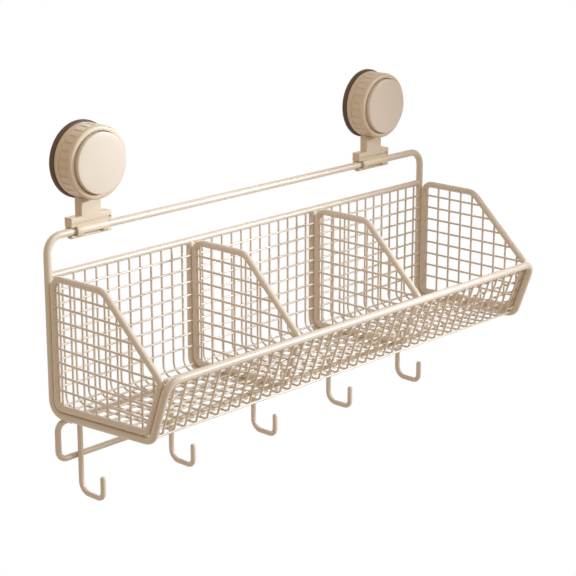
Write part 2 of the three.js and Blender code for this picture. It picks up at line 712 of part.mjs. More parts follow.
// The wire basket with its frame wires, panels, mesh bays, hook rail and hooks
function wireBasket() {
  const basket = new THREE.Group();
  addPiece(basket, 'main_frame', mainFrame(), coatedWire);
  addPiece(basket, 'back_rail', backRail(), coatedWire);
  const bayNames = ['left', 'middle', 'right'];
  const panelNames = ['end_panel_left', 'divider_left', 'divider_right', 'end_panel_right'];
  panelNames.forEach((name, i) => {
    const x = -halfWidth + bayWidth * i;
    const outerSide = i === BAY_COUNT ? 1 : -1;
    const frontInset = i === 0 || i === BAY_COUNT ? panelInset : dividerInset;
    addPiece(basket, name, panel(outerSide, frontInset).translate(x, 0, 0), coatedWire);
  });
  addPiece(basket, 'rib_left', rib(-bayWidth / 2), coatedWire);
  addPiece(basket, 'rib_right', rib(bayWidth / 2), coatedWire);
  bayNames.forEach((name, i) => {
    const left = -halfWidth + bayWidth * i;
    addPiece(basket, `mesh_warp_${name}`, bayWarp(left), coatedWire);
    addPiece(basket, `mesh_back_${name}`, backRows(left), coatedWire);
    addPiece(basket, `mesh_floor_${name}`, floorRows(left), coatedWire);
    const front = slopeRows(left, i === 0, i === BAY_COUNT - 1);
    addPiece(basket, `mesh_front_${name}`, front, coatedWire);
  });
  addPiece(basket, 'hook_rail', hookRail(), coatedWire);
  for (let i = 0; i < HOOK_COUNT; i += 1) {
    const x = FRAME_WIDTH * (HOOK_SHIFT_SHARE + HOOK_PITCH_SHARE * (i - (HOOK_COUNT - 1) / 2));
    addPiece(basket, `hook_${i + 1}`, hook(x), coatedWire);
  }
  return basket;
}

const hangingBasket = new THREE.Group();
const leftCup = suctionCup('left');
leftCup.position.x = (-CUP_SPACING_SHARE * FRAME_WIDTH) / 2;
const rightCup = suctionCup('right');
rightCup.position.x = (CUP_SPACING_SHARE * FRAME_WIDTH) / 2;
const basket = wireBasket();
basket.position.set(BASKET_SHIFT_SHARE * FRAME_WIDTH, -BAR_STANDOFF, -BAR_DROP - FRAME_HEIGHT);
hangingBasket.add(leftCup, rightCup, basket);

export default hangingBasket;
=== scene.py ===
"""Dresses the hanging wire basket: bent wires, welded mesh, sliding hooks and suction cups."""

import logging
import math
from collections.abc import Iterable
from dataclasses import dataclass
from enum import Enum

import bmesh
import bpy
from bmesh.types import BMEdge, BMesh, BMFace, BMVert
from bpy.types import Material, Node, NodeSocket, Object
from mathutils import Matrix, Vector


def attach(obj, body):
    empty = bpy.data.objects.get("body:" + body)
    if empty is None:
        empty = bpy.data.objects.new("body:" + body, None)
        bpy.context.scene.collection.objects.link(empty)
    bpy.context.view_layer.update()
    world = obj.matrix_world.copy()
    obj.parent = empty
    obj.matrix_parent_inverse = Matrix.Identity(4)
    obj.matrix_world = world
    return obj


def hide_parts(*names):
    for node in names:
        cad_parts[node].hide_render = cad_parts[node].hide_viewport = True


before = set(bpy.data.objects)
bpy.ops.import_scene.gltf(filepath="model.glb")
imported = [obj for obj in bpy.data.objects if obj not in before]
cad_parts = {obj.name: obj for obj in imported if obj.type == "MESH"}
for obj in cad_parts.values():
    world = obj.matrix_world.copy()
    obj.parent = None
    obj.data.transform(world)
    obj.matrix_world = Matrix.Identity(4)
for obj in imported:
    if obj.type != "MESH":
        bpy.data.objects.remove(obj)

log = logging.getLogger("wire_basket")

MM = 0.001
MERGE = 1e-6
NEAR = 1e-5
NUDGE = 1e-7

Corner = tuple[Vector, float]
Colour = tuple[float, float, float]
Place = tuple[float, float, float]
Span = tuple[float, float]
Outline = list[tuple[float, float]]

WHITE: Colour = (1.0, 1.0, 1.0)


class Labelled(Enum):
    """Choices whose names go into the names of pieces and bodies."""

    @property
    def label(self) -> str:
        """The choice's name in small letters."""
        return self.name.lower()


class Side(Labelled):
    """The two suction cups and the two ribs, as the user faces the wall."""

    LEFT = -1
    RIGHT = 1


class Bay(Labelled):
    """The three mesh bays between the frame's ends and the ribs."""

    LEFT = 0
    MIDDLE = 1
    RIGHT = 2


class Flat(Labelled):
    """The flats of the basket's side profile, in order from the rail round to the rim."""

    BACK = 0
    FLOOR = 1
    FRONT = 2


class Slot(Enum):
    """Material slots of the record."""

    WIRE = "coated_wire"
    CUP = "cup_plastic"
    DISC = "disc_plastic"
    PAD = "pad_rubber"


class LampKind(Enum):
    """Kinds of studio lamp."""

    SPOT = "SPOT"
    SOFT_BOX = "AREA"


class NodeBoard:
    """The node tree of a material or a world, with short ways to add and join nodes."""

    NOISE_ROUGHNESS = 0.55
    NOISE_MIDDLE = (0.35, 0.65)

    def __init__(self, owner: bpy.types.ID) -> None:
        """Starts with an empty tree.

        Args:
            owner: the material or the world.
        """
        owner.use_nodes = True
        self.tree = owner.node_tree
        self.tree.nodes.clear()

    def add(self, kind: str, **inputs: object) -> Node:
        """Adds a node and sets its inputs.

        Args:
            kind: the node's Blender type.
            inputs: socket values by socket name, spaces written as underscores.

        Returns:
            The new node.
        """
        node = self.tree.nodes.new(kind)
        for socket, value in inputs.items():
            node.inputs[socket.replace("_", " ")].default_value = value
        return node

    def join(self, out: NodeSocket, into: NodeSocket) -> None:
        """Joins an output to an input."""
        self.tree.links.new(out, into)

    def math(self, operation: str, first: NodeSocket, second: NodeSocket) -> NodeSocket:
        """Works out one value from two.

        Args:
            operation: the Math node's operation.
            first: the first value.
            second: the second value.

        Returns:
            The result.
        """
        node = self.add("ShaderNodeMath")
        node.operation = operation
        self.join(first, node.inputs[0])
        self.join(second, node.inputs[1])
        return node.outputs["Value"]

    def mix(self, share: NodeSocket, first: NodeSocket, second: NodeSocket) -> NodeSocket:
        """Mixes two shaders.

        Args:
            share: how much of the second one shows.
            first: the first shader.
            second: the second shader.

        Returns:
            The mixed shader.
        """
        node = self.add("ShaderNodeMixShader")
        for value, socket in zip((share, first, second), node.inputs):
            self.join(value, socket)
        return node.outputs["Shader"]

    def seen(self) -> NodeSocket:
        """Tells the rays in which a background is seen from those that only light the object.

        Returns:
            1 straight from the camera, in a gloss and through glass, otherwise 0.
        """
        path = self.add("ShaderNodeLightPath")
        value = path.outputs["Is Camera Ray"]
        for ray in ("Is Transmission Ray", "Is Glossy Ray"):
            value = self.math("MAXIMUM", value, path.outputs[ray])
        return value

    def noise(self, scale: float, detail: float) -> NodeSocket:
        """Noise on Object coordinates.

        Args:
            scale: features per metre.
            detail: octaves.

        Returns:
            The noise value, from 0 to 1.
        """
        place = self.add("ShaderNodeTexCoord")
        noise = self.add("ShaderNodeTexNoise", Scale=scale, Detail=detail,
                         Roughness=self.NOISE_ROUGHNESS)
        self.join(place.outputs["Object"], noise.inputs["Vector"])
        return noise.outputs["Fac"]

    def ramp(self, value: NodeSocket, low: Colour, high: Colour, span: Span) -> NodeSocket:
        """Colours a value.

        Args:
            value: the value to colour.
            low: linear colour at the span's start.
            high: linear colour at the span's end.
            span: values at which the two colours are reached.

        Returns:
            The colour.
        """
        node = self.add("ShaderNodeValToRGB")
        first, last = node.color_ramp.elements
        first.position, last.position = span
        first.color = (*low, 1.0)
        last.color = (*high, 1.0)
        self.join(value, node.inputs["Fac"])
        return node.outputs["Color"]

    def spread(self, value: NodeSocket, low: float, high: float) -> NodeSocket:
        """Maps the middle of a noise to a range.

        Args:
            value: the noise.
            low: result at the start of the noise's middle.
            high: result at the end of the noise's middle.

        Returns:
            The mapped value.
        """
        start, end = self.NOISE_MIDDLE
        node = self.add("ShaderNodeMapRange", From_Min=start, From_Max=end, To_Min=low, To_Max=high)
        self.join(value, node.inputs["Value"])
        return node.outputs["Result"]


@dataclass(frozen=True)
class SurfaceFinish:
    """A surface with soft colour blotches, uneven gloss and a fine skin.

    Colours are linear, scales are features per metre and the skin's depth is in millimetres.
    The gloss changes over smaller patches than the colour, finer by gloss_share.
    """

    name: str
    pale: Colour
    deep: Colour
    blotch_scale: float
    skin_scale: float
    skin_depth: float
    rough: Span
    coat: float = 0.0
    coat_rough: float = 0.3
    blotch_span: Span = (0.3, 0.72)
    gloss_share: float = 3.0
    skin_strength: float = 0.35

    def material(self) -> Material:
        """Makes the finish a node material.

        Returns:
            The material.
        """
        material = bpy.data.materials.new(self.name)
        board = NodeBoard(material)
        shader = board.add("ShaderNodeBsdfPrincipled", Coat_Weight=self.coat,
                           Coat_Roughness=self.coat_rough)
        output = board.add("ShaderNodeOutputMaterial")
        blotches = board.noise(self.blotch_scale, detail=3.0)
        colour = board.ramp(blotches, self.pale, self.deep, self.blotch_span)
        board.join(colour, shader.inputs["Base Color"])
        patches = board.noise(self.blotch_scale * self.gloss_share, detail=4.0)
        board.join(board.spread(patches, *self.rough), shader.inputs["Roughness"])
        bump = board.add("ShaderNodeBump", Strength=self.skin_strength,
                         Distance=self.skin_depth * MM)
        board.join(board.noise(self.skin_scale, detail=2.0), bump.inputs["Height"])
        board.join(bump.outputs["Normal"], shader.inputs["Normal"])
        board.join(shader.outputs["BSDF"], output.inputs["Surface"])
        return material


POWDER_COAT = SurfaceFinish(
    "cream_powder_coat", pale=(0.74, 0.64, 0.54), deep=(0.70, 0.595, 0.49), blotch_scale=45.0,
    skin_scale=1500.0, skin_depth=0.12, rough=(0.30, 0.42), coat=0.5, coat_rough=0.25)
CUP_PLASTIC = SurfaceFinish(
    "cream_moulded_plastic", pale=(0.725, 0.605, 0.475), deep=(0.695, 0.575, 0.445),
    blotch_scale=30.0, skin_scale=2600.0, skin_depth=0.06, rough=(0.36, 0.46))
DISC_PLASTIC = SurfaceFinish(
    "smooth_disc_plastic", pale=(0.75, 0.66, 0.565), deep=(0.735, 0.64, 0.545),
    blotch_scale=22.0, skin_scale=1800.0, skin_depth=0.03, rough=(0.28, 0.36))
POST_PLASTIC = SurfaceFinish(
    "plain_post_plastic", pale=(0.60, 0.51, 0.40), deep=(0.56, 0.47, 0.36), blotch_scale=40.0,
    skin_scale=2000.0, skin_depth=0.05, rough=(0.42, 0.52))
PAD_RUBBER = SurfaceFinish(
    "dark_pad_rubber", pale=(0.11, 0.058, 0.025), deep=(0.086, 0.045, 0.019), blotch_scale=60.0,
    skin_scale=1200.0, skin_depth=0.08, rough=(0.48, 0.62))


@dataclass(frozen=True)
class Bend:
    """An arc that takes a wire round a corner."""

    start: Vector
    end: Vector
    centre: Vector
    axis: Vector
    angle: float

    @classmethod
    def at_corner(cls, before: Vector, corner: Vector, after: Vector, radius: float) -> "Bend":
        """Fits an arc into a corner.

        Args:
            before: a point on the leg that comes in.
            corner: where the two legs would meet.
            after: a point on the leg that goes out.
            radius: the arc's radius.

        Returns:
            The arc, tangent to both legs.
        """
        back = (before - corner).normalized()
        ahead = (after - corner).normalized()
        angle = math.pi - back.angle(ahead)
        reach = radius * math.tan(angle / 2)
        centre = corner + (back + ahead).normalized() * (radius / math.cos(angle / 2))
        axis = ahead.cross(back).normalized()
        return cls(corner + back * reach, corner + ahead * reach, centre, axis, angle)

    def points(self, steps: int) -> list[Vector]:
        """Points along the arc.

        Args:
            steps: how many parts the arc is cut into.

        Returns:
            The points, both ends included.
        """
        spoke = self.start - self.centre
        turns = (Matrix.Rotation(self.angle * i / steps, 3, self.axis) for i in range(steps + 1))
        return [self.centre + turn @ spoke for turn in turns]


def once_each(items: Iterable) -> list:
    """Every item once, in the order they come, so that each run makes the same mesh."""
    return list(dict.fromkeys(items))


class WireBench:
    """A bmesh in which round wires are drawn straight, bent, capped and welded."""

    BEND_STEP = math.radians(11.25)
    CAP_SUPPORT = 0.3 * MM
    CAP_LEANS = (26, 52, 78)
    CAP_HEIGHT = 0.7

    def __init__(self, sides: int) -> None:
        """Starts an empty bench whose wires have that many sides."""
        self.mesh = bmesh.new()
        self.sides = sides

    def ring(self, place: Vector, along: Vector, radius: float) -> list[BMEdge]:
        """Makes the round section that a wire starts from.

        Args:
            place: the section's centre.
            along: the wire's direction.
            radius: the wire's radius.

        Returns:
            The section's edges.
        """
        turn = along.to_track_quat("Z", "Y").to_matrix().to_4x4()
        made = bmesh.ops.create_circle(self.mesh, cap_ends=False, segments=self.sides,
                                       radius=radius, matrix=Matrix.Translation(place) @ turn)
        return once_each(edge for vert in made["verts"] for edge in vert.link_edges)

    def draw(self, ring: list[BMEdge], step: Vector, shrink: float = 1.0) -> list[BMEdge]:
        """Draws the wire on from a section.

        Args:
            ring: the section's edges.
            step: how far the wire goes.
            shrink: size of the new section against the old one.

        Returns:
            The new section's edges.
        """
        made = bmesh.ops.extrude_edge_only(self.mesh, edges=ring)["geom"]
        verts = [item for item in made if isinstance(item, BMVert)]
        bmesh.ops.translate(self.mesh, verts=verts, vec=step)
        if shrink != 1.0:
            middle = sum((vert.co for vert in verts), Vector()) / len(verts)
            bmesh.ops.scale(self.mesh, verts=verts, vec=(shrink,) * 3,
                            space=Matrix.Translation(-middle))
        new = set(verts)
        return [item for item in made if isinstance(item, BMEdge) and new.issuperset(item.verts)]

    def bend(self, ring: list[BMEdge], bend: Bend) -> list[BMEdge]:
        """Takes the wire round a bend.

        Args:
            ring: the section's edges at the bend's start.
            bend: the arc to follow.

        Returns:
            The section's edges at the bend's end.
        """
        steps = max(2, round(bend.angle / self.BEND_STEP))
        verts = once_each(vert for edge in ring for vert in edge.verts)
        made = bmesh.ops.spin(self.mesh, geom=[*verts, *ring], cent=bend.centre, axis=bend.axis,
                              dvec=(0, 0, 0), angle=bend.angle, steps=steps, use_merge=False,
                              use_normal_flip=False, use_duplicate=False)["geom_last"]
        last = [item for item in made if isinstance(item, BMVert)]
        new = set(last)
        return once_each(edge for vert in last for edge in vert.link_edges
                         if new.issuperset(edge.verts))

    def cap(self, ring: list[BMEdge], along: Vector, radius: float, rounded: bool) -> None:
        """Closes a wire's end.

        Args:
            ring: the last section's edges.
            along: the direction out of the wire.
            radius: the wire's radius.
            rounded: whether the end has a dripped, rounded coat or a plain cut.
        """
        if rounded:
            ring = self.draw(ring, along * self.CAP_SUPPORT)
            share, rise = 1.0, 0.0
            for lean in map(math.radians, self.CAP_LEANS):
                height = radius * math.sin(lean) * self.CAP_HEIGHT
                ring = self.draw(ring, along * (height - rise), math.cos(lean) / share)
                share, rise = math.cos(lean), height
        else:
            for edge in ring:
                edge.smooth = False
        bmesh.ops.edgeloop_fill(self.mesh, edges=ring)

    def wire(self, corners: list[Corner], radius: float, closed: bool = False,
             rounded: bool = False) -> None:
        """Draws a whole wire through corners.

        Args:
            corners: points with their bend radius; the ends of an open wire have radius 0.
            radius: the wire's radius.
            closed: whether the wire is a loop.
            rounded: whether an open wire's ends are rounded.
        """
        places = [place for place, _ in corners]
        count = len(corners)
        inner = range(count) if closed else range(1, count - 1)
        bends = [Bend.at_corner(places[i - 1], places[i], places[(i + 1) % count], corners[i][1])
                 for i in inner]
        start = (places[-1] + places[0]) / 2 if closed else places[0]
        end = start if closed else places[-1]
        here = start
        along = ((bends[0].start if bends else end) - start).normalized()
        first = self.ring(start, along, radius)
        last = first
        for bend in bends:
            if (bend.start - here).length > NUDGE:
                last = self.draw(last, bend.start - here)
            last = self.bend(last, bend)
            here = bend.end
        final = end - here
        last = self.draw(last, final)
        if closed:
            seam = once_each(vert for edge in first + last for vert in edge.verts)
            bmesh.ops.remove_doubles(self.mesh, verts=seam, dist=MERGE)
            return
        self.cap(first, -along, radius, rounded)
        self.cap(last, final.normalized(), radius, rounded)

    def rod(self, start: Vector, end: Vector, radius: float) -> None:
        """Draws a straight wire with plain-cut ends."""
        self.wire([(start, 0.0), (end, 0.0)], radius)

    def weld(self, place: Vector, radius: float) -> None:
        """Puts a small coated weld where two wires cross."""
        bmesh.ops.create_icosphere(self.mesh, subdivisions=1, radius=radius,
                                   matrix=Matrix.Translation(place))


def round_corners(corners: list[Corner], steps: int = 6) -> list[Vector]:
    """A closed outline's points with its corners rounded.

    Args:
        corners: points with their bend radius.
        steps: how many parts each bend is cut into.

    Returns:
        The outline's points in order.
    """
    count = len(corners)
    points: list[Vector] = []
    for i, (place, radius) in enumerate(corners):
        bend = Bend.at_corner(corners[i - 1][0], place, corners[(i + 1) % count][0], radius)
        points += bend.points(steps)
    return points


def span_across(points: list[Vector], fixed: int, other: int, value: float) -> Span:
    """Where a straight line crosses a closed outline.

    Args:
        points: the outline.
        fixed: the axis along which the line has one value.
        other: the axis that is measured.
        value: the line's value.

    Returns:
        The lowest and highest crossing along the other axis.
    """
    hits = []
    for a, b in zip(points, points[1:] + points[:1]):
        if (a[fixed] - value) * (b[fixed] - value) < 0:
            share = (value - a[fixed]) / (b[fixed] - a[fixed])
            hits.append(a[other] + share * (b[other] - a[other]))
    return min(hits), max(hits)


def as_piece(name: str, mesh: BMesh, material: Material, slot: Slot, body: str,
             *nodes: str) -> Object:
    """Turns a bmesh into a piece of the object.

    Args:
        name: the piece's name.
        mesh: its bmesh, which is freed.
        material: its material.
        slot: the record's material slot; not used.
        body: the CAD body it rides on.
        nodes: the CAD nodes it stands for.

    Returns:
        The new object.
    """
    bmesh.ops.recalc_face_normals(mesh, faces=mesh.faces[:])
    for face in mesh.faces:
        face.smooth = True
    data = bpy.data.meshes.new(name)
    mesh.to_mesh(data)
    mesh.free()
    data.materials.append(material)
    piece = bpy.data.objects.new(name, data)
    bpy.context.scene.collection.objects.link(piece)
    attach(piece, body)
    if nodes:
        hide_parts(*nodes)
    log.info("piece %s on %s", name, body)
    return piece


def crease(piece: Object, degrees: float) -> None:
    """Keeps edges sharper than an angle crisp under smooth shading."""
    piece.data.set_sharp_from_angle(angle=math.radians(degrees))


@dataclass(frozen=True)
class BasketSizes:
    """Sizes of the basket in millimetres, between wire centre lines, and its place on the wall.

    Wire sizes are radii, and a sink is the share of a radius by which a wire's end stays short of
    the middle of the wire it is welded to. The side profile is written as (y, z), with its heel
    at the origin.
    """

    width: float = 400.0
    height: float = 126.0
    rail_height: float = 99.0
    floor_depth: float = 101.4
    floor_rise: float = 5.1
    rim_reach: float = 117.6
    rim_height: float = 50.3
    top_bend: float = 12.0
    rear_bend: float = 10.5
    front_bend: float = 10.0
    rim_bend: float = 10.0
    mesh_toe_bend: float = 3.0
    frame_wire: float = 2.75
    rail_wire: float = 2.5
    panel_wire: float = 2.5
    mesh_wire: float = 0.8
    frame_sides: int = 20
    rail_sides: int = 18
    mesh_sides: int = 10
    end_sink: float = 0.6
    warp_sink: float = 0.4
    panel_inset: float = 5.55
    divider_inset: float = 7.85
    warp_inset: float = 2.35
    weft_inset: float = 4.25
    bay_cells: int = 13
    cell_height: float = 9.9
    cell_depth: float = 11.6
    cell_floor: float = 9.9
    cell_slope: float = 9.1
    most_rows: int = 20
    floor_first: float = 15.0
    upright_first: float = 9.9
    weld: float = 1.05
    shift: Place = (12.25, -8.0, -173.4)

    @property
    def half(self) -> float:
        """Half the frame's width."""
        return self.width / 2

    @property
    def bay(self) -> float:
        """Width of one bay."""
        return self.width / len(Bay)

    @property
    def toe(self) -> Vector:
        """Where the floor meets the sloping front."""
        return Vector((-self.floor_depth, self.floor_rise))

    @property
    def rim(self) -> Vector:
        """The front rim."""
        return Vector((-self.rim_reach, self.rim_height))

    def along(self, flat: Flat) -> Vector:
        """Direction along a flat of the side profile, from the rail round to the rim.

        Args:
            flat: the flat.

        Returns:
            The direction as (y, z).
        """
        ways = {Flat.BACK: Vector((0.0, -1.0)), Flat.FLOOR: self.toe,
                Flat.FRONT: self.rim - self.toe}
        return ways[flat].normalized()

    def inward(self, flat: Flat) -> Vector:
        """Direction from a flat of the side profile into the basket."""
        way = self.along(flat)
        return Vector((way.y, -way.x))

    def corner(self, flats: tuple[Flat, Flat], insets: Span) -> Vector:
        """Where two flats meet after each is moved into the basket.

        Args:
            flats: the two flats, in order along the profile.
            insets: how far each is moved.

        Returns:
            The corner as (y, z).
        """
        origin = Vector((0.0, 0.0)) if Flat.BACK in flats else self.toe
        first, second = (self.inward(flat) for flat in flats)
        mix = first.dot(second)
        scale = 1.0 / (1.0 - mix * mix)
        return (origin + first * ((insets[0] - mix * insets[1]) * scale)
                + second * ((insets[1] - mix * insets[0]) * scale))

    def heel_corner(self, inset: float) -> Vector:
        """The profile's rear corner, moved into the basket."""
        return self.corner((Flat.BACK, Flat.FLOOR), (inset, inset))

    def toe_corner(self, inset: float, front_inset: float) -> Vector:
        """The profile's front corner, with the floor and the front moved into the basket."""
        return self.corner((Flat.FLOOR, Flat.FRONT), (inset, front_inset))

    def at(self, x: float, y: float, z: float) -> Vector:
        """A point of the basket in the row frame, in metres."""
        return (Vector((x, y, z)) + Vector(self.shift)) * MM

    def on_floor(self, forward: float, inset: float) -> Vector:
        """A point of the floor as (y, z), so far forward of the heel and into the basket."""
        return self.along(Flat.FLOOR) * forward + self.inward(Flat.FLOOR) * inset

    def on_front(self, down: float, inset: float) -> Vector:
        """A point of the front as (y, z), so far below the rim and into the basket."""
        return self.rim - self.along(Flat.FRONT) * down + self.inward(Flat.FRONT) * inset

    def u_profile(self, x: float, inset: float, top: float, rim_gap: float) -> list[Corner]:
        """Corners of a wire that runs down the back, under the floor and up the front.

        Args:
            x: the wire's place along the basket.
            inset: distance into the basket from the frame's centre line.
            top: height of its rear end.
            rim_gap: distance of its front end below the rim.

        Returns:
            The corners with their bend radii, in metres.
        """
        places = [Vector((-inset, top)), self.heel_corner(inset), self.toe_corner(inset, inset),
                  self.on_front(rim_gap, inset)]
        toe_bend = self.mesh_toe_bend + self.warp_inset - inset
        radii = (0.0, self.rear_bend - inset, toe_bend, 0.0)
        return [(self.at(x, *place), radius * MM) for place, radius in zip(places, radii)]


@dataclass
class WireWork:
    """A sub-assembly of coated wires."""

    sizes: BasketSizes
    coat: Material

    def finish_piece(self, name: str, bench: WireBench, node: str, body: str = "basket") -> None:
        """Makes a bench's wires a piece that stands for a CAD node."""
        as_piece(name, bench.mesh, self.coat, Slot.WIRE, body, node)


@dataclass
class BasketFrame(WireWork):
    """The thick wires: the closed frame loop, the back rail and the two ribs."""

    rib_reach: float = 86.0

    def build(self) -> None:
        """Builds the frame's pieces."""
        self.frame_loop()
        self.back_rail()
        for side in Side:
            self.rib(side)

    def frame_loop(self) -> None:
        """Top bar, uprights, floor wires, slopes and rim as one bent loop."""
        s = self.sizes
        half_loop = [(Vector((0.0, s.height)), s.top_bend), (Vector((0.0, 0.0)), s.rear_bend),
                     (s.toe, s.front_bend), (s.rim, s.rim_bend)]
        left = [(s.at(-s.half, *place), radius * MM) for place, radius in half_loop]
        right = [(s.at(s.half, *place), radius * MM) for place, radius in reversed(half_loop)]
        bench = WireBench(s.frame_sides)
        bench.wire(left + right, s.frame_wire * MM, closed=True)
        self.finish_piece("frame_wire", bench, "main_frame")

    def back_rail(self) -> None:
        """The straight rail, run into the uprights."""
        s = self.sizes
        reach = s.half - s.frame_wire * s.end_sink
        start, end = (s.at(x, 0.0, s.rail_height) for x in (-reach, reach))
        bench = WireBench(s.rail_sides)
        bench.rod(start, end, s.rail_wire * MM)
        self.finish_piece("rail_wire", bench, "back_rail")

    def rib(self, side: Side) -> None:
        """One rib from the rail down the back and forwards under the floor.

        Args:
            side: which of the two ribs it is.
        """
        s = self.sizes
        x = side.value * s.bay / 2
        top = s.rail_height - s.rail_wire * s.end_sink
        route = [(s.at(x, 0.0, top), 0.0), (s.at(x, 0.0, 0.0), s.rear_bend * MM),
                 (s.at(x, *s.on_floor(self.rib_reach, 0.0)), 0.0)]
        bench = WireBench(s.frame_sides)
        bench.wire(route, s.frame_wire * MM, rounded=True)
        self.finish_piece(f"rib_wire_{side.label}", bench, f"rib_{side.label}")


@dataclass
class GridPanel(WireWork):
    """An end panel or a divider: a closed wire frame filled with square mesh.

    The level wires lie on the outer side, which is 1 to the right and -1 to the left.
    """

    node: str
    x: float
    outer: int
    front_inset: float
    height: float = 99.0
    top_depth: float = 56.5
    nose_height: float = 48.5
    bends: tuple[float, ...] = (5.0, 8.0, 12.0, 5.0, 5.0)
    layer_gap: float = 0.15

    def outline(self) -> list[Corner]:
        """Corners of the panel's frame, heel first.

        Returns:
            The corners with their bend radii, in the basket's own millimetres.
        """
        s = self.sizes
        toe = s.toe_corner(s.panel_inset, self.front_inset)
        slope = s.along(Flat.FRONT)
        nose = toe + slope * ((self.nose_height - toe.y) / slope.y)
        places = [s.heel_corner(s.panel_inset), (-s.panel_inset, self.height),
                  (-self.top_depth, self.height), nose, toe]
        return [(Vector((self.x, y, z)), radius) for (y, z), radius in zip(places, self.bends)]

    def rows(self, points: list[Vector]) -> tuple[list[float], list[float]]:
        """Heights of the level wires and depths of the upright wires.

        Args:
            points: the rounded outline.

        Returns:
            The heights and the depths.
        """
        s = self.sizes
        spare = s.panel_wire + s.mesh_wire
        lowest = s.panel_inset + s.floor_rise + spare
        nose = min(p.y for p in points)
        heights = [self.height - s.cell_height * i for i in range(1, s.most_rows)]
        depths = [-s.upright_first - s.cell_depth * i for i in range(s.most_rows)]
        return [z for z in heights if z > lowest], [y for y in depths if y > nose + spare]

    def build(self) -> None:
        """Builds the panel's frame with its mesh."""
        s = self.sizes
        outline = self.outline()
        points = round_corners(outline)
        heights, depths = self.rows(points)
        layer = self.outer * (s.mesh_wire + self.layer_gap)
        bench = WireBench(s.rail_sides)
        bench.wire([(s.at(*place), radius * MM) for place, radius in outline], s.panel_wire * MM,
                   closed=True)
        bench.sides = s.mesh_sides
        for z in heights:
            start, end = (s.at(self.x + layer, y, z) for y in span_across(points, 2, 1, z))
            bench.rod(start, end, s.mesh_wire * MM)
        for y in depths:
            low, high = span_across(points, 1, 2, y)
            start, end = (s.at(self.x - layer, y, z) for z in (low, high))
            bench.rod(start, end, s.mesh_wire * MM)
            for z in heights:
                if low < z < high:
                    bench.weld(s.at(self.x, y, z), s.weld * MM)
        self.finish_piece(f"grid_{self.node}", bench, self.node)


